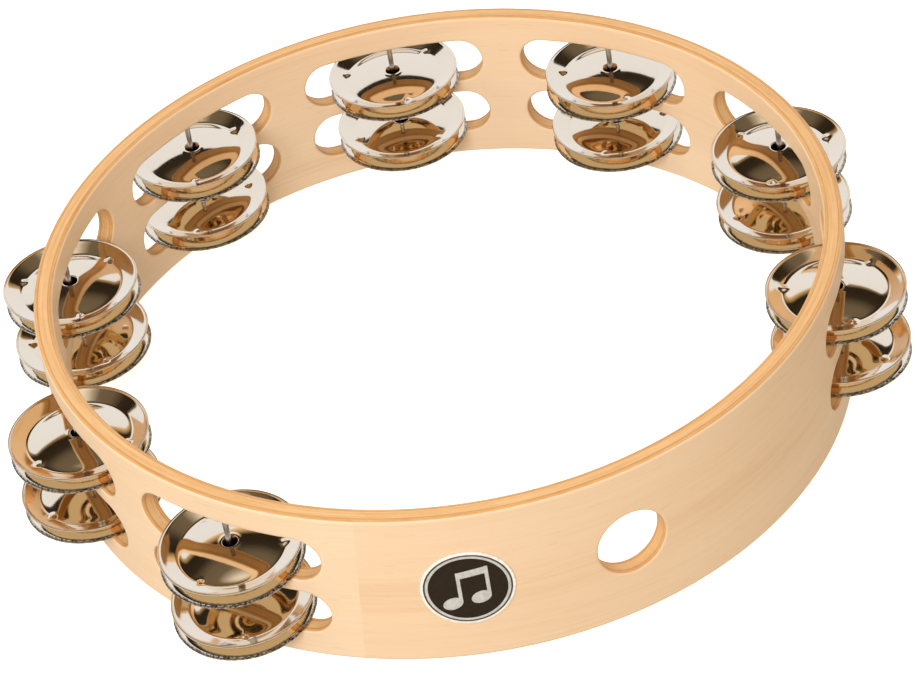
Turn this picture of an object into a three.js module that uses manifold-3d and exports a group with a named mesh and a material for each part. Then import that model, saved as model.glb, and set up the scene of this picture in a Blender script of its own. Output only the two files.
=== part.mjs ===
// A headless tambourine: a bent-plywood hoop with two rows of loose jingle pairs.
// Millimetres, +Z up. The hoop lies flat on its lower edge, and the stretch with no jingles,
// where the hand holds it, faces -Y. The origin is the centre of the footprint on the surface.
import * as THREE from "three";
import { mergeVertices } from "three/addons/utils/BufferGeometryUtils.js";
import Module from "manifold-3d";

const wasm = await Module();
wasm.setup();

// Hoop: three plies bent and glued one inside the other.
const HOOP_RADIUS = 127; // outside of the outer ply
const HOOP_HEIGHT = 56;
const FACE_PLY = 1.3; // thickness of the inner and the outer ply
const CORE_PLY = 3;
const GLUE_LINE = 0.2; // between neighbouring plies
const EDGE_ROUNDING = 0.6; // the rounded edges leave the face plies this much short of the core
const HOOP_SEGMENTS = 48;

// Slots: two rows of long slots with round ends, cut towards the hoop's axis.
const STATIONS = 8;
const STATION_PITCH = THREE.MathUtils.degToRad(35.3);
const ROW_SPACING = 21.2; // between the middles of the two rows
const SLOT_HEIGHT = 16;
const SLOT_END_CLEARANCE = 9.3; // from a plate's rim to the slot's end, along the middle of the wall
const SLOT_END_SEGMENTS = 3;

// Jingle plates: pressed sheet with a central dome, a valley round it and a flange that flares.
const PLATE_RADIUS = 22;
const PLATE_SHEET = 0.5;
const PLATE_HOLE_RADIUS = 2.5;
const DOME_SHOULDER_RADIUS = 10;
const VALLEY_RADIUS = 16.2;
const PLATE_HEIGHT = 3.15; // from the face that meets the other plate of the pair to the dome's top
const SHOULDER_SHARE = 0.58; // height of the dome's shoulder between its valley and its top
const RIM_RISE = 2.4; // the rim above the valley
const PLATE_SEGMENTS = 16;

// Pins: one at each station, driven down from the upper edge through both rows.
const PIN_RADIUS = 0.9;
const PIN_SUNK = 0.5; // the pin's end below the hoop's upper edge
const PIN_FOOT = 3.5; // the wood left under the pin
const PIN_BORE_CLEARANCE = 0.25;
const PIN_SEGMENTS = 8;

// Grip: a round hole in the middle, and a round badge to its left.
const GRIP_HOLE_RADIUS = 11;
const GRIP_HOLE_SEGMENTS = 20;
const BADGE_RADIUS = 14;
const BADGE_THICKNESS = 0.35;
const BADGE_TURN = THREE.MathUtils.degToRad(-22.8); // round the hoop from the grip hole
const BADGE_SEGMENTS = 24;

const RESTING_GAP = 0.1; // between pieces that lie on each other
const CUT_OVERRUN = 1; // how far a cutter runs past what it cuts

// Sizes that follow from those above.
const coreOuter = HOOP_RADIUS - FACE_PLY - GLUE_LINE;
const coreInner = coreOuter - CORE_PLY;
const hoopInner = coreInner - GLUE_LINE - FACE_PLY;
const pinCircle = (coreOuter + coreInner) / 2;
const middleHeight = HOOP_HEIGHT / 2;
const slotLength = 2 * (PLATE_RADIUS + SLOT_END_CLEARANCE);
const rows = [
  { name: "top_row", sill: middleHeight + ROW_SPACING / 2 - SLOT_HEIGHT / 2 },
  { name: "bottom_row", sill: middleHeight - ROW_SPACING / 2 - SLOT_HEIGHT / 2 },
];
const gripAngle = -Math.PI / 2;
const stationAngles = Array.from(
  { length: STATIONS },
  (_, k) => gripAngle + Math.PI + (k - (STATIONS - 1) / 2) * STATION_PITCH,
);

const wood = new THREE.MeshStandardMaterial({ color: 0xeac59a, roughness: 0.45 });
const coreWood = new THREE.MeshStandardMaterial({ color: 0xdda568, roughness: 0.6 });
const nickel = new THREE.MeshStandardMaterial({ color: 0xd8d0c2, roughness: 0.12, metalness: 1 });
const steel = new THREE.MeshStandardMaterial({ color: 0xb9b5ad, roughness: 0.3, metalness: 1 });
const badgeFilm = new THREE.MeshStandardMaterial({ color: 0x34271d, roughness: 0.35 });

// A closed three.js geometry as a solid for boolean work.
function solidOf(geometry) {
  geometry.deleteAttribute("normal");
  geometry.deleteAttribute("uv");
  const merged = mergeVertices(geometry);
  return new wasm.Manifold(
    new wasm.Mesh({
      numProp: 3,
      vertProperties: merged.attributes.position.array,
      triVerts: new Uint32Array(merged.index.array),
    }),
  );
}

function geometryOf(solid) {
  const mesh = solid.getMesh();
  const geometry = new THREE.BufferGeometry();
  geometry.setAttribute("position", new THREE.BufferAttribute(mesh.vertProperties, 3));
  geometry.setIndex(new THREE.BufferAttribute(mesh.triVerts, 1));
  geometry.computeVertexNormals();
  return geometry;
}

function namedMesh(name, geometry, material) {
  const mesh = new THREE.Mesh(geometry, material);
  mesh.name = name;
  return mesh;
}

// A ring of rectangular section round Z.
function ring(inner, outer, low, high) {
  const section = [
    [inner, low],
    [outer, low],
    [outer, high],
    [inner, high],
    [inner, low],
  ].map(([radius, z]) => new THREE.Vector2(radius, z));
  const geometry = new THREE.LatheGeometry(section, HOOP_SEGMENTS);
  return solidOf(geometry.rotateX(Math.PI / 2));
}

// A round bar through the wall, pointing away from the hoop's axis at half its height.
function radialBar(radius, angle, segments) {
  const reach = HOOP_RADIUS - hoopInner + 2 * CUT_OVERRUN + radius;
  const geometry = new THREE.CylinderGeometry(radius, radius, reach, segments);
  geometry.rotateZ(-Math.PI / 2);
  geometry.translate((HOOP_RADIUS + hoopInner) / 2, 0, middleHeight);
  return solidOf(geometry.rotateZ(angle));
}

// The cutter of one slot: a round-ended bar bent round the hoop, its ends pointing at the axis.
function slotCutter(angle, sill) {
  const endRadius = SLOT_HEIGHT / 2;
  const straight = slotLength / 2 - endRadius;
  const outline = new THREE.Shape();
  outline.absarc(straight, 0, endRadius, -Math.PI / 2, Math.PI / 2, false);
  outline.absarc(-straight, 0, endRadius, Math.PI / 2, (3 * Math.PI) / 2, false);
  const inside = hoopInner - CUT_OVERRUN;
  const outside = HOOP_RADIUS / Math.cos(slotLength / 2 / pinCircle) + CUT_OVERRUN;
  const geometry = new THREE.ExtrudeGeometry(outline, {
    depth: outside - inside,
    steps: 1,
    bevelEnabled: false,
    curveSegments: SLOT_END_SEGMENTS,
  });
  const points = geometry.attributes.position;
  for (let i = 0; i < points.count; i++) {
    const turn = angle + points.getX(i) / pinCircle;
    const radius = inside + points.getZ(i);
    const height = sill + endRadius + points.getY(i);
    points.setXYZ(i, radius * Math.cos(turn), radius * Math.sin(turn), height);
  }
  return solidOf(geometry);
}

// The cutter of one pin's bore, open at the hoop's upper edge.
function boreCutter(angle) {
  const radius = PIN_RADIUS + PIN_BORE_CLEARANCE;
  const low = PIN_FOOT - RESTING_GAP;
  const length = HOOP_HEIGHT + CUT_OVERRUN - low;
  const geometry = new THREE.CylinderGeometry(radius, radius, length, PIN_SEGMENTS);
  geometry.rotateX(Math.PI / 2);
  geometry.translate(pinCircle, 0, low + length / 2);
  return solidOf(geometry.rotateZ(angle));
}

// One plate, dome up, with the face that meets the other plate of its pair at z = 0.
function plateGeometry() {
  const outside = [
    [PLATE_HOLE_RADIUS, PLATE_HEIGHT],
    [
      DOME_SHOULDER_RADIUS,
      PLATE_SHEET + SHOULDER_SHARE * (PLATE_HEIGHT - PLATE_SHEET),
    ],
    [VALLEY_RADIUS, PLATE_SHEET],
    [PLATE_RADIUS, PLATE_SHEET + RIM_RISE],
  ];
  const inside = outside.map(([radius, z]) => [radius, z - PLATE_SHEET]);
  const section = [...inside, ...outside.reverse(), inside[0]];
  const points = section.map(([radius, z]) => new THREE.Vector2(radius, z));
  return new THREE.LatheGeometry(points, PLATE_SEGMENTS).rotateX(Math.PI / 2);
}

function makeHoop() {
  const cutters = [radialBar(GRIP_HOLE_RADIUS, gripAngle, GRIP_HOLE_SEGMENTS)];
  for (const angle of stationAngles) {
    for (const row of rows) {
      cutters.push(slotCutter(angle, row.sill));
    }
  }
  const cutBy = (solid, tools) => tools.reduce((left, tool) => left.subtract(tool), solid);
  const faceLow = EDGE_ROUNDING;
  const faceHigh = HOOP_HEIGHT - EDGE_ROUNDING;
  const innerPly = cutBy(ring(hoopInner, hoopInner + FACE_PLY, faceLow, faceHigh), cutters);
  const outerPly = cutBy(ring(HOOP_RADIUS - FACE_PLY, HOOP_RADIUS, faceLow, faceHigh), cutters);
  const corePly = cutBy(ring(coreInner, coreOuter, 0, HOOP_HEIGHT), [
    ...cutters,
    ...stationAngles.map(boreCutter),
  ]);
  const hoop = new THREE.Group();
  hoop.add(namedMesh("hoop_inner_ply", geometryOf(innerPly), wood));
  hoop.add(namedMesh("hoop_core_ply", geometryOf(corePly), coreWood));
  hoop.add(namedMesh("hoop_outer_ply", geometryOf(outerPly), wood));
  return hoop;
}

// The badge: a disc of thick film that follows the curve of the outer ply.
function makeBadge() {
  const back = HOOP_RADIUS + RESTING_GAP;
  const sheet = ring(back, back + BADGE_THICKNESS, 0, HOOP_HEIGHT);
  const disc = sheet.intersect(radialBar(BADGE_RADIUS, gripAngle + BADGE_TURN, BADGE_SEGMENTS));
  return namedMesh("round_badge", geometryOf(disc), badgeFilm);
}

function makePin(number) {
  const length = HOOP_HEIGHT - PIN_SUNK - PIN_FOOT;
  const geometry = new THREE.CylinderGeometry(PIN_RADIUS, PIN_RADIUS, length, PIN_SEGMENTS);
  geometry.rotateX(Math.PI / 2);
  const pin = namedMesh("jingle_pin_" + number, geometry, steel);
  pin.position.z = PIN_FOOT + length / 2;
  return pin;
}

// A pair of plates back to back, valleys together, lying on the sill of its slot.
function makePair(row, number) {
  const pair = new THREE.Group();
  pair.position.z = row.sill + RESTING_GAP + PLATE_HEIGHT + RESTING_GAP / 2;
  const upper = namedMesh(`${row.name}_${number}_upper_plate`, plateGeometry(), nickel);
  upper.position.z = RESTING_GAP / 2;
  const lower = namedMesh(`${row.name}_${number}_lower_plate`, plateGeometry(), nickel);
  lower.position.z = -RESTING_GAP / 2;
  lower.rotation.x = Math.PI;
  pair.add(upper, lower);
  return pair;
}

const tambourine = new THREE.Group();
tambourine.add(makeHoop(), makeBadge());
stationAngles.forEach((angle, k) => {
  const station = new THREE.Group();
  station.position.set(pinCircle * Math.cos(angle), pinCircle * Math.sin(angle), 0);
  station.rotation.z = angle;
  station.add(makePin(k + 1));
  rows.forEach((row) => station.add(makePair(row, k + 1)));
  tambourine.add(station);
});

// The jingles at the back stand out further than the bare hoop at the grip, so the footprint's
// centre lies behind the hoop's centre.
const footprint = new THREE.Box3().setFromObject(tambourine, true).getCenter(new THREE.Vector3());
tambourine.position.set(-footprint.x, -footprint.y, 0);

const group = new THREE.Group();
group.add(tambourine);

export default group;
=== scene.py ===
import math
import random
from collections import namedtuple

import bmesh
import bpy
from mathutils import Matrix, Vector
from mathutils.geometry import delaunay_2d_cdt


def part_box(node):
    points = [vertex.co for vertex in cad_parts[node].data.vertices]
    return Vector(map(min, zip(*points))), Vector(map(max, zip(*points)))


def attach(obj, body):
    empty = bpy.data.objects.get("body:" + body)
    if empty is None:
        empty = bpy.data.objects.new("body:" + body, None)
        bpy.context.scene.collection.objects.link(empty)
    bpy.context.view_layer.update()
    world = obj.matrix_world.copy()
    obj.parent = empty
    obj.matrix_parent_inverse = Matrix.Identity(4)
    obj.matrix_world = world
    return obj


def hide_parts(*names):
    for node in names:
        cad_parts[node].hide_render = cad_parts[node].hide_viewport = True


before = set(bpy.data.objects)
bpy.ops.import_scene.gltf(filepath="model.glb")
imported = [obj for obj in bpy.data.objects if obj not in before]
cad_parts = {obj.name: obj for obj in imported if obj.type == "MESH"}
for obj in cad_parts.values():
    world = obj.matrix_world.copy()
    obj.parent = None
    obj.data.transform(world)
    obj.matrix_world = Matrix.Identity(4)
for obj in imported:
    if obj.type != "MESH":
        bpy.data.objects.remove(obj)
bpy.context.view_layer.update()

MM = 0.001
TURN = 2 * math.pi

# Sizes that the frame doesn't give.
GLUE_LINE = 0.2 * MM
PLATE_RADIUS = 22 * MM
SLOT_HEIGHT = 16 * MM
SLOT_END_CLEARANCE = 9.3 * MM
RESTING_GAP = 0.1 * MM  # between a piece and what it lies on
GRIP_ANGLE = -math.pi / 2
GRIP_HOLE_RADIUS = 11 * MM
HOOP_EDGE_ROUNDING = 1.1 * MM
HOLE_EDGE_ROUNDING = 0.9 * MM
SUPPORT_BAND = 0.4 * MM  # a narrow band of wall beside each rounded edge, which keeps it crisp
SEAM_ANGLE = math.radians(-128.3)  # where the outer ply's two ends meet, clear of every hole


def middle_of(node):
    low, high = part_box(node)
    return (low + high) / 2


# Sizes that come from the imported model.
outer_low, outer_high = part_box("hoop_outer_ply")
core_low, core_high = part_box("hoop_core_ply")
AXIS = middle_of("hoop_core_ply")
HOOP_HEIGHT = core_high.z
HOOP_OUTER = (outer_high.x - outer_low.x) / 2
STATIONS = [n.rsplit("_", 1)[1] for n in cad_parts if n.startswith("jingle_pin_")]
ROWS = ["top_row", "bottom_row"]
first_pin = middle_of("jingle_pin_" + STATIONS[0])
PIN_CIRCLE = math.hypot(first_pin.x - AXIS.x, first_pin.y - AXIS.y)
HOOP_INNER = 2 * PIN_CIRCLE - HOOP_OUTER
OUTER_JOINT = (core_high.x - core_low.x) / 2 + GLUE_LINE / 2
INNER_JOINT = 2 * PIN_CIRCLE - OUTER_JOINT
CIRCUMFERENCE = TURN * PIN_CIRCLE


def angle_of(point):
    return math.atan2(point.y - AXIS.y, point.x - AXIS.x)


# ---------------------------------------------------------------- materials

def new_material(name):
    material = bpy.data.materials.new(name)
    material.use_nodes = True
    tree = material.node_tree
    return material, tree, tree.nodes["Principled BSDF"]


def feed(tree, node, inputs):
    """Sets a node's inputs. A value is a number, a vector, a colour or another node's output."""
    for name, value in inputs.items():
        socket = node.inputs[name]
        if isinstance(value, bpy.types.NodeSocket):
            tree.links.new(value, socket)
        elif socket.type == "RGBA":
            socket.default_value = (*value, 1)
        else:
            socket.default_value = value


def add(tree, kind, inputs=None, **settings):
    """One new node, with its settings and its inputs."""
    made = tree.nodes.new(kind)
    for name, value in settings.items():
        setattr(made, name, value)
    feed(tree, made, inputs or {})
    return made


def object_place(tree):
    return add(tree, "ShaderNodeTexCoord").outputs["Object"]


def math_of(tree, operation, a, b=0.0):
    return add(tree, "ShaderNodeMath", {0: a, 1: b}, operation=operation).outputs[0]


def vector_math_of(tree, operation, a, b=(0, 0, 0)):
    """The node's outputs, Vector and Value."""
    return add(tree, "ShaderNodeVectorMath", {0: a, 1: b}, operation=operation).outputs


def noise(tree, place, stretch, detail, roughness=0.55):
    """Soft noise. stretch says how many features a metre holds along each of the place's axes."""
    vector = add(tree, "ShaderNodeMapping", {"Vector": place, "Scale": stretch}).outputs[0]
    inputs = {"Vector": vector, "Scale": 1.0, "Detail": detail, "Roughness": roughness}
    return add(tree, "ShaderNodeTexNoise", inputs).outputs["Fac"]


def grey(value):
    return (value, value, value)


def ramp(tree, value, stops):
    """A colour that follows a value. stops holds (value, colour) pairs."""
    made = add(tree, "ShaderNodeValToRGB", {"Fac": value})
    elements = made.color_ramp.elements
    while len(elements) > 1:
        elements.remove(elements[-1])
    elements[0].position = stops[0][0]
    elements[0].color = (*stops[0][1], 1)
    for position, colour in stops[1:]:
        elements.new(position).color = (*colour, 1)
    return made.outputs["Color"]


def blend_colours(tree, share, a, b):
    """Colour a, turning into colour b as the share grows from 0 to 1."""
    return add(tree, "ShaderNodeMix", {0: share, 6: a, 7: b}, data_type="RGBA").outputs[2]


def bump(tree, height, distance, strength):
    inputs = {"Height": height, "Distance": distance, "Strength": strength}
    return add(tree, "ShaderNodeBump", inputs).outputs["Normal"]


SEAM_SLANT = 0.075  # how far a ply's end runs along the strip for each metre up


def strip_place(tree, seam_shift):
    """Where a point lies on its ply laid out flat: along the strip from its slanting end, up, and
    outwards from the hoop's axis, in metres. The first and the last are also given alone."""
    flat = add(tree, "ShaderNodeUVMap", uv_map="unrolled").outputs["UV"]
    parts = add(tree, "ShaderNodeSeparateXYZ", {"Vector": flat})
    slant = math_of(tree, "MULTIPLY", parts.outputs["Y"], SEAM_SLANT)
    along = math_of(tree, "ADD", math_of(tree, "SUBTRACT", parts.outputs["X"], slant), seam_shift)
    along = math_of(tree, "FLOORED_MODULO", along, CIRCUMFERENCE)
    centred = vector_math_of(tree, "SUBTRACT", object_place(tree), (AXIS.x, AXIS.y, 0))["Vector"]
    level = vector_math_of(tree, "MULTIPLY", centred, (1, 1, 0))["Vector"]
    radius = vector_math_of(tree, "LENGTH", level)["Value"]
    joined = {"X": along, "Y": parts.outputs["Y"], "Z": radius}
    return add(tree, "ShaderNodeCombineXYZ", joined).outputs["Vector"], along, radius


FACE_PALE = (0.87, 0.675, 0.49)
FACE_MID = (0.83, 0.615, 0.42)
FACE_DARK = (0.70, 0.45, 0.25)
EDGE_PALE = (0.78, 0.48, 0.215)
EDGE_DARK = (0.60, 0.29, 0.09)
CORE_PALE = (0.83, 0.55, 0.29)
CORE_DARK = (0.70, 0.40, 0.16)
GLUE_BROWN = (0.46, 0.21, 0.06)

# The wood's patterns, as features a metre: along the strip, up it and through it.
FIGURE = (7, 55, 7)
GRAIN = (22, 950, 22)
FLECKS = (130, 1500, 130)
LAYERS = (30, 60, 1500)
FIBRES = (240, 900, 900)

# How much each pattern counts in the wood's tone.
FIGURE_SHARE = 0.55
GRAIN_SHARE = 0.38
DRIFT_SHARE = -0.10
LAYER_SHARE = 0.7
FIBRE_SHARE = 0.3


def face_veneer(name, seam_shift):
    """Lacquered maple veneer: long soft grain, short darker flecks, and a slow drift of colour
    from one end of the strip to the other."""
    material, tree, shader = new_material(name)
    place, along, _ = strip_place(tree, seam_shift)
    figure = noise(tree, place, FIGURE, detail=3, roughness=0.5)
    grain = noise(tree, place, GRAIN, detail=5, roughness=0.6)
    flecks = noise(tree, place, FLECKS, detail=2, roughness=0.5)
    drift = math_of(tree, "DIVIDE", along, CIRCUMFERENCE)
    tone = math_of(tree, "MULTIPLY", figure, FIGURE_SHARE)
    tone = math_of(tree, "ADD", tone, math_of(tree, "MULTIPLY", grain, GRAIN_SHARE))
    tone = math_of(tree, "ADD", tone, math_of(tree, "MULTIPLY", drift, DRIFT_SHARE))
    wood = ramp(tree, tone, [(0.25, FACE_PALE), (0.50, FACE_MID), (0.78, FACE_DARK)])
    fleck_share = ramp(tree, flecks, [(0.62, grey(0)), (0.74, grey(0.32))])
    look = {
        "Base Color": blend_colours(tree, fleck_share, wood, FACE_DARK),
        "Roughness": ramp(tree, grain, [(0.3, grey(0.36)), (0.7, grey(0.48))]),
        "Normal": bump(tree, grain, distance=0.04 * MM, strength=0.5),
        "Specular IOR Level": 0.45,
        "Coat Weight": 0.18,
        "Coat Roughness": 0.3,
    }
    feed(tree, shader, look)
    return material


def cut_wood(name, pale, dark, seam_shift):
    """The cut edge of a ply, where it shows at the hoop's edges and inside the holes: end fibres
    in thin layers, darker along the glue lines."""
    material, tree, shader = new_material(name)
    place, _, radius = strip_place(tree, seam_shift)
    layers = noise(tree, place, LAYERS, detail=3, roughness=0.5)
    fibres = noise(tree, place, FIBRES, detail=3, roughness=0.6)
    tone = math_of(tree, "MULTIPLY", layers, LAYER_SHARE)
    tone = math_of(tree, "ADD", tone, math_of(tree, "MULTIPLY", fibres, FIBRE_SHARE))
    colour = ramp(tree, tone, [(0.34, pale), (0.70, dark)])
    for joint in (INNER_JOINT, OUTER_JOINT):
        away = math_of(tree, "ABSOLUTE", math_of(tree, "SUBTRACT", radius, joint))
        glue_lines_away = math_of(tree, "DIVIDE", away, GLUE_LINE)
        share = ramp(tree, glue_lines_away, [(0.4, grey(0.6)), (0.9, grey(0))])
        colour = blend_colours(tree, share, colour, GLUE_BROWN)
    look = {
        "Base Color": colour,
        "Normal": bump(tree, tone, distance=0.08 * MM, strength=0.5),
        "Roughness": 0.5,
        "Specular IOR Level": 0.4,
    }
    feed(tree, shader, look)
    return material


NICKEL = (0.88, 0.72, 0.51)
# Near black: partly the rim's real scoring, partly painted shade of the gap between the two plates.
WORN_AND_SHADE_DARK = (0.05, 0.04, 0.028)
WORN_BRIGHT = (0.66, 0.55, 0.40)
STEEL_DARK = (0.46, 0.44, 0.41)
STEEL_BRIGHT = (0.66, 0.64, 0.60)

# The metal's and the film's patterns, as features a metre along X, Y and Z.
PRESS_WAVES = (150, 150, 60)
UPRIGHT_STROKES = (1900, 1900, 200)
DRAWN_LINES = (5000, 5000, 120)
MOTTLE = (700, 700, 700)

# The film's colour at the mottling's two ends, as shares of its own.
MOTTLE_DARKER = 0.88
MOTTLE_PALER = 1.1


def polished_nickel():
    """Bright nickel plate on pressed steel, with a faint waviness from the press."""
    material, tree, shader = new_material("polished_nickel")
    waves = noise(tree, object_place(tree), PRESS_WAVES, detail=1)
    look = {
        "Base Color": NICKEL,
        "Normal": bump(tree, waves, distance=0.02 * MM, strength=0.5),
        "Roughness": 0.07,
        "Metallic": 1,
    }
    feed(tree, shader, look)
    return material


def worn_and_shaded_nickel():
    """The outside of a plate's rim, scored by fine upright strokes where plates knock together. The
    near-black strokes, which run on into the gap between the two plates, are partly painted shade of
    that gap.
    """
    material, tree, shader = new_material("worn_and_shaded_nickel")
    strokes = noise(tree, object_place(tree), UPRIGHT_STROKES, detail=3, roughness=0.7)
    look = {
        # The dark strokes are partly painted shade of the gap between the plates.
        "Base Color": ramp(tree, strokes, [(0.42, WORN_AND_SHADE_DARK), (0.56, WORN_BRIGHT)]),
        "Normal": bump(tree, strokes, distance=0.05 * MM, strength=0.6),
        "Roughness": 0.25,
        "Metallic": 1,
    }
    feed(tree, shader, look)
    return material


def drawn_steel():
    """The pins' wire, with fine lines along it."""
    material, tree, shader = new_material("drawn_steel")
    lines = noise(tree, object_place(tree), DRAWN_LINES, detail=3)
    look = {
        "Base Color": ramp(tree, lines, [(0.3, STEEL_DARK), (0.7, STEEL_BRIGHT)]),
        "Normal": bump(tree, lines, distance=0.01 * MM, strength=0.6),
        "Roughness": 0.24,
        "Metallic": 1,
    }
    feed(tree, shader, look)
    return material


def printed_film(name, colour):
    """One printed colour of the badge, with faint mottling."""
    material, tree, shader = new_material(name)
    mottle = noise(tree, object_place(tree), MOTTLE, detail=2)
    darker = tuple(MOTTLE_DARKER * c for c in colour)
    paler = tuple(min(1.0, MOTTLE_PALER * c) for c in colour)
    look = {
        "Base Color": ramp(tree, mottle, [(0.35, darker), (0.65, paler)]),
        "Normal": bump(tree, mottle, distance=0.01 * MM, strength=0.4),
        "Roughness": 0.4,
        "Specular IOR Level": 0.15,
    }
    feed(tree, shader, look)
    return material


# ---------------------------------------------------------------- mesh helpers

WELD_DISTANCE = 0.0005 * MM


def on_hoop(along, height, radius):
    """A point of the strip laid out flat, bent round the hoop's axis."""
    turn = SEAM_ANGLE + along / PIN_CIRCLE
    return Vector((AXIS.x + radius * math.cos(turn), AXIS.y + radius * math.sin(turn), height))


def along_of(angle):
    """How far along the flat strip an angle of the hoop lies."""
    return (angle - SEAM_ANGLE) % TURN * PIN_CIRCLE


def new_piece(name, mesh, body, slot_name, *replaced, place=(0, 0, 0)):
    """An object that moves with a body and stands for the CAD nodes that it replaces."""
    piece = bpy.data.objects.new(name, mesh)
    bpy.context.scene.collection.objects.link(piece)
    piece.location = place
    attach(piece, body)
    if replaced:
        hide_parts(*replaced)


def finished_mesh(bm, name, materials, sharp_degrees=50):
    """Closes the seams between neighbouring faces, turns every face outwards and shades it smooth."""
    bmesh.ops.remove_doubles(bm, verts=bm.verts, dist=WELD_DISTANCE)
    bmesh.ops.recalc_face_normals(bm, faces=bm.faces)
    for face in bm.faces:
        face.smooth = True
    mesh = bpy.data.meshes.new(name)
    bm.to_mesh(mesh)
    bm.free()
    mesh.set_sharp_from_angle(angle=math.radians(sharp_degrees))
    for material in materials:
        mesh.materials.append(material)
    return mesh


def smooth_line(points, steps):
    """A Catmull-Rom curve through the points, with so many steps from each to the next."""
    ends = [2 * points[0] - points[1], *points, 2 * points[-1] - points[-2]]
    line = []
    for i in range(1, len(ends) - 2):
        before, start, end, after = ends[i - 1 : i + 3]
        for step in range(steps):
            t = step / steps
            straight = 2 * start + (end - before) * t
            square = (2 * before - 5 * start + 4 * end - after) * t**2
            cube = (3 * start - before - 3 * end + after) * t**3
            line.append(0.5 * (straight + square + cube))
    return [*line, points[-1]]


def lathed(profile, angles, lift=None):
    """A closed profile of (radius, height) points turned round Z. lift, if it is given, says how
    far to raise the profile's point of an index at a radius and an angle."""
    bm = bmesh.new()
    rings = []
    for angle in angles:
        ring = []
        for index, (radius, height) in enumerate(profile):
            if lift:
                height += lift(index, radius, angle)
            ring.append(bm.verts.new((radius * math.cos(angle), radius * math.sin(angle), height)))
        rings.append(ring)
    for this, after in zip(rings, rings[1:] + rings[:1]):
        for i in range(len(profile)):
            j = (i + 1) % len(profile)
            bm.faces.new((this[i], after[i], after[j], this[j]))
    return bm


def even_angles(count):
    return [TURN * i / count for i in range(count)]


# ---------------------------------------------------------------- hoop

HOOP_STEPS = 216  # round the hoop
HOOP_LEVELS = 9  # up its wall
ROUNDING_STEPS = 4
SLOT_END_STEPS = 16
SLOT_SIDE_STEPS = 14
GRIP_HOLE_STEPS = 64
GRID_CLEARANCE = 0.8 * MM  # the wall's grid keeps this clear of a hole's edge
HOLE_TOLERANCE = 0.05 * MM  # a face whose middle is this far inside a hole's edge is left out
FLAT_TOLERANCE = 0.0001 * MM  # two points of the flat strip this close are one
VENEER = 0  # a ply's materials, by index
CUT = 1

# The plies' seams are staggered round the hoop, as shares of a turn from the outer ply's seam.
INNER_SEAM_TURN = 0.19
CORE_SEAM_TURN = 0.05

# One ring of a ply's section, at the hoop's edges and at the edges of its holes. material is that
# of the band which ends at this ring.
Section = namedtuple("Section", "edge_radius edge_inset hole_radius hole_widened material")


class Slot:
    """A long slot with round ends, cut through the wall towards the hoop's axis."""

    def __init__(self, along, height):
        self.along = along
        self.height = height
        self.end_radius = SLOT_HEIGHT / 2
        self.half_side = PLATE_RADIUS + SLOT_END_CLEARANCE - self.end_radius

    def outline(self, _radius, widened):
        size = self.end_radius + widened
        points = []
        for side in (1, -1):
            for i in range(SLOT_END_STEPS + 1):
                turn = math.pi * i / SLOT_END_STEPS - side * math.pi / 2
                x = side * self.half_side + size * math.cos(turn)
                points.append((self.along + x, self.height + size * math.sin(turn)))
            for i in range(1, SLOT_SIDE_STEPS):
                x = side * self.half_side * (1 - 2 * i / SLOT_SIDE_STEPS)
                points.append((self.along + x, self.height + side * size))
        return points

    def holds(self, point, _radius, widened):
        x = max(0.0, abs(point.x - self.along) - self.half_side)
        return math.hypot(x, point.y - self.height) < self.end_radius + widened


class GripHole:
    """A round hole bored straight through the wall at half its height."""

    def __init__(self, along, height):
        self.along = along
        self.height = height

    def outline(self, radius, widened):
        size = GRIP_HOLE_RADIUS + widened
        points = []
        for turn in even_angles(GRIP_HOLE_STEPS):
            x = PIN_CIRCLE * math.asin(size * math.cos(turn) / radius)
            points.append((self.along + x, self.height + size * math.sin(turn)))
        return points

    def holds(self, point, radius, widened):
        along = point.x - self.along
        if abs(along) > PIN_CIRCLE:
            return False
        x = radius * math.sin(along / PIN_CIRCLE)
        return math.hypot(x, point.y - self.height) < GRIP_HOLE_RADIUS + widened


def hoop_holes():
    holes = [GripHole(along_of(GRIP_ANGLE), HOOP_HEIGHT / 2)]
    for station in STATIONS:
        for row in ROWS:
            low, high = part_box(f"{row}_{station}_lower_plate")
            sill = low.z - RESTING_GAP
            along = along_of(angle_of((low + high) / 2))
            holes.append(Slot(along, sill + SLOT_HEIGHT / 2))
    return holes


def wall_points(holes, section):
    """The points and edges of one face of a ply laid out flat."""
    radius = section.edge_radius
    clear = section.hole_widened + GRID_CLEARANCE
    points = []
    edges = []
    low = section.edge_inset
    high = HOOP_HEIGHT - section.edge_inset
    for level in range(HOOP_LEVELS + 1):
        height = low + (high - low) * level / HOOP_LEVELS
        for step in range(HOOP_STEPS + 1):
            point = Vector((CIRCUMFERENCE * step / HOOP_STEPS, height))
            inside = 0 < level < HOOP_LEVELS and 0 < step < HOOP_STEPS
            if inside and any(hole.holds(point, radius, clear) for hole in holes):
                continue
            points.append(point)
    for hole in holes:
        first = len(points)
        loop = [Vector(p) for p in hole.outline(radius, section.hole_widened)]
        points += loop
        count = len(loop)
        edges += [(first + i, first + (i + 1) % count) for i in range(count)]
    return points, edges


def wall_face(bm, flat_layer, holes, section):
    """One face of a ply, with its holes left out."""
    radius = section.edge_radius
    inside = section.hole_widened - HOLE_TOLERANCE
    points, edges = wall_points(holes, section)
    flat, _, faces, *_ = delaunay_2d_cdt(points, edges, [], 0, FLAT_TOLERANCE)
    corners = [bm.verts.new(on_hoop(p.x, p.y, radius)) for p in flat]
    for face in faces:
        middle = (flat[face[0]] + flat[face[1]] + flat[face[2]]) / 3
        if any(hole.holds(middle, radius, inside) for hole in holes):
            continue
        made = bm.faces.new([corners[i] for i in face])
        made.material_index = section.material
        for loop, i in zip(made.loops, face):
            loop[flat_layer].uv = flat[i]


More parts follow.
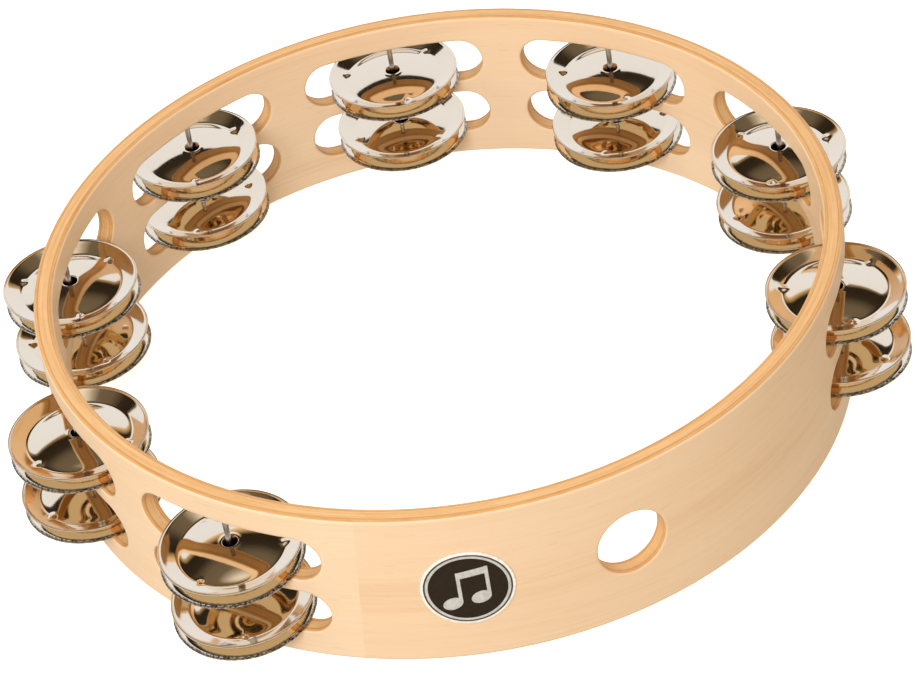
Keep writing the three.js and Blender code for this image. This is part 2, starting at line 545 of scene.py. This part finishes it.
def edge_band(bm, flat_layer, lines, radii, material_indices):
    """The bands of faces that join a line of points at one radius to the same line at the next.
    lines holds flat points, one list for each radius."""
    rows = []
    for line, radius in zip(lines, radii):
        rows.append([bm.verts.new(on_hoop(x, z, radius)) for x, z in line])
    for r in range(len(rows) - 1):
        for i in range(len(lines[0]) - 1):
            corners = (rows[r][i], rows[r][i + 1], rows[r + 1][i + 1], rows[r + 1][i])
            places = (lines[r][i], lines[r][i + 1], lines[r + 1][i + 1], lines[r + 1][i])
            made = bm.faces.new(corners)
            made.material_index = material_indices[r]
            for loop, place in zip(made.loops, places):
                loop[flat_layer].uv = place


def ply_sections(joint, face_radius):
    """A face ply's sections, from the glue joint round the rounded edge to the ply's face."""
    inwards = 1 if joint > face_radius else -1
    sections = [Section(joint, 0.0, joint, 0.0, CUT)]
    for i in range(ROUNDING_STEPS + 1):
        turn = math.pi / 2 * i / ROUNDING_STEPS
        back = 1 - math.sin(turn)
        aside = 1 - math.cos(turn)
        section = Section(
            edge_radius=face_radius + inwards * HOOP_EDGE_ROUNDING * back,
            edge_inset=HOOP_EDGE_ROUNDING * aside,
            hole_radius=face_radius + inwards * HOLE_EDGE_ROUNDING * back,
            hole_widened=HOLE_EDGE_ROUNDING * aside,
            material=CUT if i <= ROUNDING_STEPS / 2 else VENEER,
        )
        sections.append(section)
    inset = HOOP_EDGE_ROUNDING + SUPPORT_BAND
    widened = HOLE_EDGE_ROUNDING + SUPPORT_BAND
    sections.append(Section(face_radius, inset, face_radius, widened, VENEER))
    return sections


def ply_mesh(name, sections, holes, materials):
    """One ply: its two faces, its lower and upper edges and the walls of its holes."""
    bm = bmesh.new()
    flat_layer = bm.loops.layers.uv.new("unrolled")
    for section in (sections[0], sections[-1]):
        wall_face(bm, flat_layer, holes, section)
    indices = [s.material for s in sections[1:]]
    steps = [CIRCUMFERENCE * i / HOOP_STEPS for i in range(HOOP_STEPS + 1)]
    radii = [s.edge_radius for s in sections]
    lower = [[(x, s.edge_inset) for x in steps] for s in sections]
    upper = [[(x, HOOP_HEIGHT - s.edge_inset) for x in steps] for s in sections]
    edge_band(bm, flat_layer, lower, radii, indices)
    edge_band(bm, flat_layer, upper, radii, indices)
    for hole in holes:
        lines = []
        for section in sections:
            outline = hole.outline(section.hole_radius, section.hole_widened)
            lines.append(outline + outline[:1])
        edge_band(bm, flat_layer, lines, [s.hole_radius for s in sections], indices)
    return finished_mesh(bm, name, materials)


def make_hoop():
    holes = hoop_holes()
    inner_shift = (1 - INNER_SEAM_TURN) * CIRCUMFERENCE
    core_shift = (1 - CORE_SEAM_TURN) * CIRCUMFERENCE
    outer_cut = cut_wood("outer_ply_cut", EDGE_PALE, EDGE_DARK, 0)
    inner_cut = cut_wood("inner_ply_cut", EDGE_PALE, EDGE_DARK, inner_shift)
    core_cut = cut_wood("core_ply_cut", CORE_PALE, CORE_DARK, core_shift)
    outer_face = face_veneer("outer_veneer", 0)
    inner_face = face_veneer("inner_veneer", inner_shift)
    core_sections = [Section(joint, 0.0, joint, 0.0, CUT) for joint in (INNER_JOINT, OUTER_JOINT)]
    plies = [
        ("outer", ply_sections(OUTER_JOINT, HOOP_OUTER), [outer_face, outer_cut], "face_ply"),
        ("core", core_sections, [core_cut, core_cut], "core_ply"),
        ("inner", ply_sections(INNER_JOINT, HOOP_INNER), [inner_face, inner_cut], "face_ply"),
    ]
    for which, sections, materials, slot_name in plies:
        mesh = ply_mesh(f"{which}_ply", sections, holes, materials)
        new_piece(f"{which}_ply", mesh, "root", slot_name, f"hoop_{which}_ply")


# ---------------------------------------------------------------- jingles

PLATE_SHEET = 0.5 * MM
PLATE_STEPS = 96
PLATE_HOLE_RADIUS = 2.35 * MM
LIP_RISE = 0.12 * MM
LIP_CREST = 0.35 * MM  # how far out from the hole the lip is highest
LIP_WIDTH = 1.0 * MM
LIP_DEPTH = 0.3 * MM  # how far the hole's rounded edge bulges into the hole
LIP_STEPS = 4
DOME_CURVE = 51 * MM  # the radius of the sphere that the dome is part of
DOME_TOP = 3.06 * MM  # height of that sphere's top above the face that meets the other plate
DOME_EDGE = 14.8 * MM
DOME_STEPS = 14
# The valley and the flare outside the dome, as (radius, height) in millimetres.
FLARE_LINE = [
    (15.5, 0.71),
    (16.2, 0.62),
    (16.8, 0.73),
    (17.5, 1.00),
    (19.2, 1.68),
    (20.6, 2.24),
    (21.15, 2.52),
    (21.46, 2.86),
]
LINE_STEPS = 3
RIM_RADIUS = 0.27 * MM
RIM_OUT = 0.25 * MM  # the middle of the rim's rounding, from the end of the sheet
RIM_UP = 0.03 * MM
RIM_ARC = 210  # degrees
RIM_STEPS = 6
WORN_AND_SHADE_UNDER_STEPS = 2  # how far the wear and the painted shade of the gap between the plates reach under the plate from its rim

# Small bumps in the valley, on the plate's upper face only.
DIMPLES = 3
DIMPLE_CIRCLE = 16.2 * MM
DIMPLE_HEIGHT = 0.55 * MM
DIMPLE_SPREAD = 0.75 * MM
DIMPLE_STEPS = 6  # finer steps round the plate, on each side of a dimple
DIMPLE_REACH = math.radians(7.2)

# How loosely the plates hang, and the seed of their random draws.
DRAW_SEED = 7
MOST_TILT = math.radians(1.6)
LEAST_TILT_SHARE = -0.4  # a pair leans into the hoop by less than out of it
LEANING_TILT = math.radians(2.6)  # the last station's pairs, beside the badge, lean out the most
MOST_SHIFT = 0.8 * MM
LEAST_SHIFT_SHARE = 0.2
MOST_TURN_ASIDE = math.radians(60)  # from the hoop's axis, which the plates hang towards

PIN_ROUNDING = 0.25 * MM
PIN_STEPS = 28


def dome_height(radius):
    return DOME_TOP - DOME_CURVE + math.sqrt(DOME_CURVE**2 - radius**2)


def plate_profile():
    """The closed section of one plate, how many of its points are on the upper face, which come
    first, and which of its sides are on the worn outside of the rim, partly painted with the shade of
    the gap between the plates."""
    upper = [Vector((PLATE_HOLE_RADIUS + LIP_CREST, dome_height(PLATE_HOLE_RADIUS) + LIP_RISE))]
    first = PLATE_HOLE_RADIUS + LIP_WIDTH
    for i in range(DOME_STEPS + 1):
        radius = first + (DOME_EDGE - first) * i / DOME_STEPS
        upper.append(Vector((radius, dome_height(radius))))
    flare = [upper[-1], *(Vector(p) * MM for p in FLARE_LINE)]
    upper += smooth_line(flare, LINE_STEPS)[1:]
    sheet = Vector((0, PLATE_SHEET))
    under = [p - sheet for p in (*upper[:-1:2], upper[-1])]
    rim_middle = (upper[-1] + under[-1]) / 2 + Vector((RIM_OUT, RIM_UP))
    rim = []
    for i in range(RIM_STEPS + 1):
        turn = math.radians(RIM_ARC / 2 - RIM_ARC * i / RIM_STEPS)
        rim.append(rim_middle + RIM_RADIUS * Vector((math.cos(turn), math.sin(turn))))
    lip_middle = (upper[0] + under[0]) / 2
    lip = []
    for i in range(1, LIP_STEPS):
        turn = math.pi * (1.5 - i / LIP_STEPS)
        lip.append(lip_middle + Vector((LIP_DEPTH * math.cos(turn), PLATE_SHEET / 2 * math.sin(turn))))
    points = [*upper, *rim, *reversed(under), *lip]
    # These sides get the scored rim's material, whose dark strokes are partly painted shade of the gap
    # between the plates.
    first_worn_and_shaded = len(upper) + RIM_STEPS // 2
    worn_and_shaded = range(first_worn_and_shaded, len(upper) + len(rim) + WORN_AND_SHADE_UNDER_STEPS)
    return [(p.x, p.y) for p in points], len(upper), worn_and_shaded


def angle_between(a, b):
    return abs((a - b + math.pi) % TURN - math.pi)


def plate_angles():
    """Even steps round the plate, with finer ones beside each dimple."""
    centres = even_angles(DIMPLES)
    angles = []
    for angle in even_angles(PLATE_STEPS):
        if all(angle_between(angle, centre) > DIMPLE_REACH for centre in centres):
            angles.append(angle)
    for centre in centres:
        for i in range(-DIMPLE_STEPS, DIMPLE_STEPS + 1):
            angles.append((centre + DIMPLE_REACH * i / DIMPLE_STEPS) % TURN)
    return sorted(angles)


def dimple_lift(radius, angle):
    """How far the dimples raise the upper face at this place."""
    lift = 0.0
    for centre in even_angles(DIMPLES):
        across = radius * math.sin(angle - centre)
        outwards = radius * math.cos(angle - centre) - DIMPLE_CIRCLE
        lift += DIMPLE_HEIGHT * math.exp(-(across**2 + outwards**2) / (2 * DIMPLE_SPREAD**2))
    return lift


def plate_mesh():
    profile, upper_count, worn_and_shaded = plate_profile()

    def upper_lift(index, radius, angle):
        return dimple_lift(radius, angle) if index < upper_count else 0.0

    bm = lathed(profile, plate_angles(), upper_lift)
    for number, face in enumerate(bm.faces):
        # Scored rim, with its dark strokes partly painted shade of the gap between the plates.
        if number % len(profile) in worn_and_shaded:
            face.material_index = 1
    return finished_mesh(bm, "jingle_plate", [polished_nickel(), worn_and_shaded_nickel()], sharp_degrees=60)


def make_pin(station, material):
    node = "jingle_pin_" + station
    low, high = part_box(node)
    radius = (high.x - low.x) / 2
    half = (high.z - low.z) / 2
    profile = [
        (0, -half),
        (radius - PIN_ROUNDING, -half),
        (radius, -half + PIN_ROUNDING),
        (radius, half - PIN_ROUNDING),
        (radius - PIN_ROUNDING, half),
        (0, half),
    ]
    bm = lathed(profile, even_angles(PIN_STEPS))
    bmesh.ops.translate(bm, verts=bm.verts, vec=middle_of(node))
    mesh = finished_mesh(bm, "pin_" + station, [material])
    new_piece("pin_" + station, mesh, "root", "pin_steel", node)


def make_pins():
    material = drawn_steel()
    for station in STATIONS:
        make_pin(station, material)


def make_plates():
    """Each plate hangs loose on its pin, so it lies a little off centre, and each pair leans by
    chance out of the hoop or into it. A leaning pair's plates lie off centre along the slot only,
    which keeps them clear of its sides. The draws come in a fixed order."""
    draw = random.Random(DRAW_SEED)
    mesh = plate_mesh()
    for station in STATIONS:
        for row in ROWS:
            leaning = station == STATIONS[-1]
            chance_tilt = draw.uniform(LEAST_TILT_SHARE, 1) * MOST_TILT
            tilt = LEANING_TILT if leaning else chance_tilt
            for side in ("lower", "upper"):
                node = f"{row}_{station}_{side}_plate"
                low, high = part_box(node)
                middle = middle_of(node)
                outwards = angle_of(middle)
                turn_aside = draw.uniform(-1, 1) * MOST_TURN_ASIDE
                shift = draw.uniform(LEAST_SHIFT_SHARE, 1) * MOST_SHIFT
                towards = outwards + (math.pi / 2 if leaning else math.pi + turn_aside)
                place = Vector((middle.x, middle.y, low.z if side == "upper" else high.z))
                place += shift * Vector((math.cos(towards), math.sin(towards), 0))
                lean = Matrix.Rotation(tilt, 4, (-math.sin(outwards), math.cos(outwards), 0))
                spin = Matrix.Rotation(draw.uniform(0, TURN), 4, "Z")
                over = Matrix.Rotation(0 if side == "upper" else math.pi, 4, "X")
                turned = mesh.copy()
                turned.transform(lean @ spin @ over)
                new_piece(node + "_nickel", turned, node, "jingle_nickel", node, place=place)


# ---------------------------------------------------------------- badge

BADGE_BACK = HOOP_OUTER + RESTING_GAP
BADGE_HEIGHT = 0.35 * MM
BADGE_STEPS = 96
# The badge's films, in the order of their indices.
BADGE_FILMS = [
    ("badge_dark_brown", (0.022, 0.014, 0.008)),
    ("badge_silver", (0.55, 0.56, 0.57)),
    ("badge_line", (0.06, 0.05, 0.045)),
    ("badge_white", (0.88, 0.88, 0.87)),
]
BROWN, SILVER, LINE, BORDER = range(4)
# The badge's flat rings from the middle out: (outer radius in mm, steps, film).
BADGE_RINGS = [(11.75, 6, BROWN), (12.6, 2, SILVER), (13.15, 2, LINE), (13.85, 2, BORDER)]
# Its rounded edge: (how far past the last ring, how far below the front), in mm.
BADGE_EDGE = [(0.11, 0.05), (0.15, 0.14)]

# The motif's sizes in millimetres, from the badge's middle.
NOTE_HEADS = [Vector((-5.0, -5.4)), Vector((3.5, -3.9))]
HEAD_HALF_LENGTH = 3.1
HEAD_HALF_HEIGHT = 2.2
HEAD_TILT = math.radians(22)
HEAD_STEPS = 40
STEM_FOOT = Vector((2.45, 0.8))
STEM_LENGTH = Vector((0, 11.0))
STEM_HALF_WIDTH = Vector((0.55, 0))
STEM_STEPS = 2
BEAM_HALF_HEIGHT = Vector((0, 1.25))
BEAM_STEPS = 8
MOTIF_SUNK = 0.1 * MM
MOTIF_RAISED = 0.05 * MM
CROSSING_RISE = 0.01 * MM  # a shape stands this much higher than the one it crosses


def on_badge(angle, x, y, lift):
    """A point of the badge's own flat plan, bent round the hoop. x runs right, seen from outside."""
    turn = angle + x / HOOP_OUTER
    radius = BADGE_BACK + lift
    return Vector(
        (AXIS.x + radius * math.cos(turn), AXIS.y + radius * math.sin(turn), HOOP_HEIGHT / 2 + y)
    )


def badge_rings():
    """From the middle of the front round to the middle of the back: (radius in mm, lift, film)."""
    rings = [(0.0, BADGE_HEIGHT, BROWN)]
    inner = 0.0
    for outer, steps, film in BADGE_RINGS:
        for i in range(1, steps + 1):
            rings.append((inner + (outer - inner) * i / steps, BADGE_HEIGHT, film))
        inner = outer
    for past, below in BADGE_EDGE:
        rings.append((inner + past, BADGE_HEIGHT - below * MM, BORDER))
    rings.append((inner + BADGE_EDGE[-1][0], 0.0, BORDER))
    rings.append((0.0, 0.0, BORDER))
    return rings


def make_badge():
    angle = angle_of(middle_of("round_badge"))
    films = [printed_film(name, colour) for name, colour in BADGE_FILMS]
    rings = badge_rings()
    bm = bmesh.new()
    lines = []
    for radius, lift, _ in rings:
        line = []
        for turn in even_angles(BADGE_STEPS):
            x = radius * MM * math.cos(turn)
            y = radius * MM * math.sin(turn)
            line.append(bm.verts.new(on_badge(angle, x, y, lift)))
        lines.append(line)
    for r in range(len(lines) - 1):
        for i in range(BADGE_STEPS):
            j = (i + 1) % BADGE_STEPS
            face = bm.faces.new((lines[r][i], lines[r][j], lines[r + 1][j], lines[r + 1][i]))
            face.material_index = rings[r + 1][2]
    mesh = finished_mesh(bm, "round_badge_film", films)
    new_piece("round_badge_film", mesh, "root", "badge_film", "round_badge")
    make_motif(angle, films[SILVER])


def note_head(middle):
    """The outline of a note's tilted oval head."""
    points = []
    for turn in even_angles(HEAD_STEPS):
        point = Vector((HEAD_HALF_LENGTH * math.cos(turn), HEAD_HALF_HEIGHT * math.sin(turn)))
        point.rotate(Matrix.Rotation(HEAD_TILT, 2))
        points.append(middle + point)
    return points


def raised_shape(bm, angle, outline, high):
    """A flat outline in millimetres on the badge's face, raised from under the face to high."""
    low = BADGE_HEIGHT - MOTIF_SUNK
    under = [bm.verts.new(on_badge(angle, p.x * MM, p.y * MM, low)) for p in outline]
    over = [bm.verts.new(on_badge(angle, p.x * MM, p.y * MM, high)) for p in outline]
    bm.faces.new(over)
    bm.faces.new(list(reversed(under)))
    for i in range(len(outline)):
        j = (i + 1) % len(outline)
        bm.faces.new((under[i], under[j], over[j], over[i]))


def raised_bar(bm, angle, start, end, half, high, steps):
    """A bar from start to end that follows the badge's curve. half is half its width as a step
    across it."""
    low = BADGE_HEIGHT - MOTIF_SUNK
    rows = []
    for i in range(steps + 1):
        middle = start.lerp(end, i / steps)
        one = middle - half
        other = middle + half
        corners = [(one, low), (other, low), (other, high), (one, high)]
        rows.append([bm.verts.new(on_badge(angle, p.x * MM, p.y * MM, z)) for p, z in corners])
    for this, after in zip(rows, rows[1:]):
        for i in range(4):
            j = (i + 1) % 4
            bm.faces.new((this[i], this[j], after[j], after[i]))
    bm.faces.new(rows[0])
    bm.faces.new(rows[-1])


def make_motif(angle, material):
    """A generic pair of joined notes on the badge."""
    bm = bmesh.new()
    head_high = BADGE_HEIGHT + MOTIF_RAISED
    stem_high = head_high + CROSSING_RISE
    beam_high = stem_high + CROSSING_RISE
    tips = []
    for head in NOTE_HEADS:
        raised_shape(bm, angle, note_head(head), head_high)
        foot = head + STEM_FOOT
        tip = foot + STEM_LENGTH
        raised_bar(bm, angle, foot, tip, STEM_HALF_WIDTH, stem_high, STEM_STEPS)
        tips.append(tip)
    start = tips[0] - STEM_HALF_WIDTH - BEAM_HALF_HEIGHT
    end = tips[1] + STEM_HALF_WIDTH - BEAM_HALF_HEIGHT
    raised_bar(bm, angle, start, end, BEAM_HALF_HEIGHT, beam_high, BEAM_STEPS)
    mesh = finished_mesh(bm, "badge_motif", [material], sharp_degrees=30)
    new_piece("badge_motif", mesh, "root", "badge_film")


# ---------------------------------------------------------------- stage

# Angles in degrees: azimuth 0 is in front, on -Y.
CAMERA_AZIMUTH = -19.6
CAMERA_ELEVATION = 38.964
CAMERA_ROLL = math.radians(-9.622)
CAMERA_DISTANCE = 1.206
CAMERA_SENSOR = 36
CAMERA_LENS = 149.45
CAMERA_SHIFT = (0.0139, -0.0258)

BLACK = (0, 0, 0)
WHITE = (1, 1, 1)
PAPER = (0.9, 0.9, 0.9)
WARM_WHITE = (1.0, 0.92, 0.76)
COOL_WHITE = (0.91, 1.01, 1.24)
MATT = {"Roughness": 0.9, "Specular IOR Level": 0}

FLOOR_SIZE = 8
FLOOR_GLOW = 0.75
WARM_GLOW = 0.66
RING_RADIUS = 0.8
RING_HEIGHT = 0.64
RING_STEPS = 96
RING_GLOW = 0.97

# The studio's colours, by the sine of the elevation: 0 is level and all below, 1 is overhead.
STUDIO_COLOURS = [
    (0.0, (0.84, 0.60, 0.32)),
    (0.58, (0.84, 0.60, 0.32)),
    (0.66, (0.02, 0.014, 0.008)),
    (0.78, (0.035, 0.027, 0.018)),
    (0.86, (0.15, 0.12, 0.085)),
    (0.93, (0.17, 0.14, 0.10)),
    (0.955, (0.45, 0.40, 0.33)),
    (0.98, (0.95, 0.91, 0.85)),
    (1.0, (1.0, 0.97, 0.92)),
]
# Name, azimuth from the camera's, elevation, distance, size, power and colour of each light.
LIGHTS = [
    ("key", -20, 40, 1.7, (0.9, 0.7), 20, (0.95, 0.97, 1.0)),
    ("over", 0, 86, 1.6, (1.2, 1.2), 4.5, (1.0, 0.97, 0.93)),
    ("side", -80, 28, 1.8, (0.7, 0.7), 4.5, (1.0, 0.84, 0.60)),
    ("back", 165, 20, 1.9, (1.6, 0.6), 13, (1.0, 0.97, 0.92)),
]


def look_matrix(place, target, roll=0.0):
    back = (place - target).normalized()
    right = Vector((0, 0, 1)).cross(back).normalized()
    up = back.cross(right)
    rolled_right = math.cos(roll) * right + math.sin(roll) * up
    rolled_up = math.cos(roll) * up - math.sin(roll) * right
    turned = Matrix((rolled_right, rolled_up, back)).transposed().to_4x4()
    return Matrix.Translation(place) @ turned


def direction(azimuth, elevation):
    """From the object towards a viewpoint."""
    turn = math.radians(azimuth)
    rise = math.radians(elevation)
    level = math.cos(rise)
    return Vector((math.sin(turn) * level, -math.cos(turn) * level, math.sin(rise)))


def make_camera():
    target = Vector((AXIS.x, AXIS.y, HOOP_HEIGHT / 2))
    place = target + CAMERA_DISTANCE * direction(CAMERA_AZIMUTH, CAMERA_ELEVATION)
    data = bpy.data.cameras.new("camera")
    data.sensor_width = CAMERA_SENSOR
    data.lens = CAMERA_LENS
    data.shift_x, data.shift_y = CAMERA_SHIFT
    camera = bpy.data.objects.new("camera", data)
    bpy.context.scene.collection.objects.link(camera)
    camera.matrix_world = look_matrix(place, target, CAMERA_ROLL)
    bpy.context.scene.camera = camera


def soft_light(name, azimuth, elevation, distance, size, power, colour):
    """A rectangular light that faces the object. The camera and the reflections don't show it."""
    data = bpy.data.lights.new(name, "AREA")
    data.shape = "RECTANGLE"
    data.size, data.size_y = size
    data.energy = power
    data.color = colour
    light = bpy.data.objects.new(name, data)
    bpy.context.scene.collection.objects.link(light)
    light.matrix_world = look_matrix(AXIS + distance * direction(azimuth, elevation), AXIS)
    light.visible_glossy = False
    light.visible_camera = False


def glowing(name, base, colour, glow, **more):
    """A surface that gives light of its own. more holds the shader's other inputs."""
    material, tree, shader = new_material(name)
    look = {"Base Color": base, "Emission Color": colour, "Emission Strength": glow}
    feed(tree, shader, look | more)
    return material


def new_stage_object(bm, name, material):
    mesh = bpy.data.meshes.new(name)
    bm.to_mesh(mesh)
    bm.free()
    mesh.materials.append(material)
    made = bpy.data.objects.new(name, mesh)
    bpy.context.scene.collection.objects.link(made)
    return made


def make_sheet(name, height, material):
    bm = bmesh.new()
    bmesh.ops.create_grid(bm, x_segments=1, y_segments=1, size=FLOOR_SIZE / 2)
    bmesh.ops.translate(bm, verts=bm.verts, vec=(AXIS.x, AXIS.y, height))
    return new_stage_object(bm, name, material)


def make_floor():
    """The white floor that the camera sees, and under it the warmer, dimmer one that lights the
    object from below and that the jingles mirror."""
    white = glowing("floor_paper", PAPER, WHITE, FLOOR_GLOW, **MATT)
    floor = make_sheet("floor", -RESTING_GAP, white)
    floor.visible_diffuse = False
    floor.visible_glossy = False
    warm_white = glowing("warm_paper", BLACK, WARM_WHITE, WARM_GLOW, **MATT)
    warm_floor = make_sheet("warm_floor", -2 * RESTING_GAP, warm_white)
    warm_floor.visible_camera = False
    warm_floor.visible_shadow = False


def make_white_ring():
    """A low white screen all round, which the jingles mirror."""
    bm = bmesh.new()
    rows = []
    for height in (0.0, RING_HEIGHT):
        row = []
        for turn in even_angles(RING_STEPS):
            x = AXIS.x + RING_RADIUS * math.cos(turn)
            y = AXIS.y + RING_RADIUS * math.sin(turn)
            row.append(bm.verts.new((x, y, height)))
        rows.append(row)
    low, high = rows
    for i in range(RING_STEPS):
        j = (i + 1) % RING_STEPS
        bm.faces.new((low[i], high[i], high[j], low[j]))
    material = glowing("white_screen", BLACK, COOL_WHITE, RING_GLOW)
    ring = new_stage_object(bm, "white_ring", material)
    ring.visible_camera = False
    ring.visible_diffuse = False
    ring.visible_shadow = False


def make_studio():
    """A pale studio: warm and bright low down all round, dark above that, and white overhead."""
    world = bpy.data.worlds.new("studio")
    bpy.context.scene.world = world
    world.use_nodes = True
    tree = world.node_tree
    way = add(tree, "ShaderNodeTexCoord").outputs["Generated"]
    height = add(tree, "ShaderNodeSeparateXYZ", {"Vector": way}).outputs["Z"]
    feed(tree, tree.nodes["Background"], {"Color": ramp(tree, height, STUDIO_COLOURS)})
    for name, aside, elevation, distance, size, power, colour in LIGHTS:
        soft_light(name, CAMERA_AZIMUTH + aside, elevation, distance, size, power, colour)


make_hoop()
make_pins()
make_plates()
make_badge()
make_camera()
make_floor()
make_white_ring()
make_studio()
bpy.context.scene.view_settings.view_transform = "Standard"
